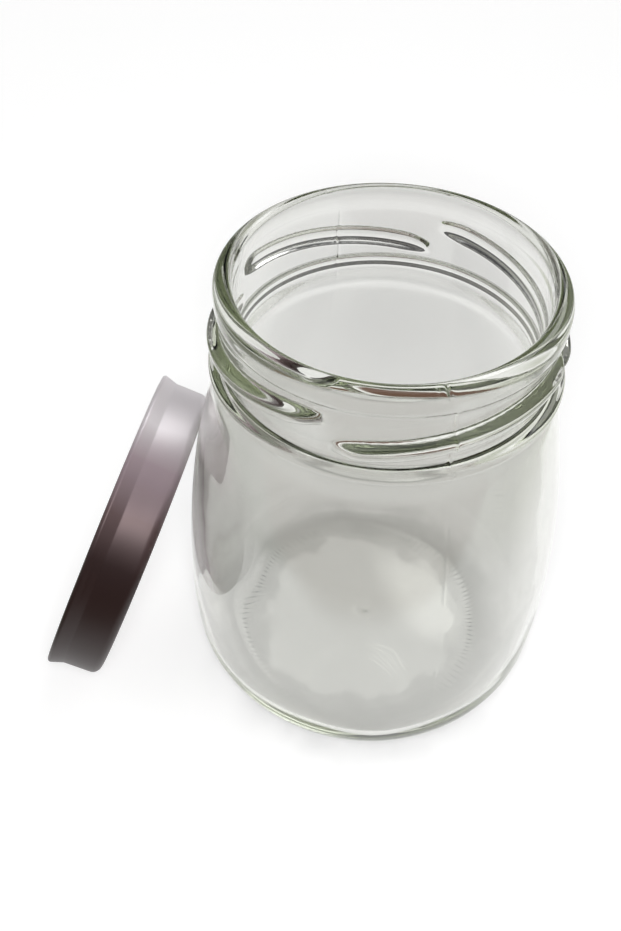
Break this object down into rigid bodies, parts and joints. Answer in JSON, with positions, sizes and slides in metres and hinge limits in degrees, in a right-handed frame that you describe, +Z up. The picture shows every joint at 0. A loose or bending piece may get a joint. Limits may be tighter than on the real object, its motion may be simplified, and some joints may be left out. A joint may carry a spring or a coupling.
{
  "type": "glass twist-off jar with lid",
  "caption": "Empty clear glass food jar with a lug-thread neck, with its metal twist-off lid leaning against the side.",
  "frame": {"origin": "under the middle of the jar and leaning lid together, on the surface they stand on", "axes": "+Z up along the jar's axis; the lid leans on the jar's -X side; the side seen in front is -Y"},
  "size_m": [0.108, 0.0778, 0.1],
  "materials": {
    "glass": "clear, smooth, faint green-grey tint",
    "lid_metal": "satin lacquered tinplate, grey-lilac",
    "gasket": "matt soft sealing ring"
  },
  "bodies": {
    "root": {"jar": "glass", "lid_shell": "lid_metal", "lid_gasket": "gasket"}
  },
  "joints": []
}
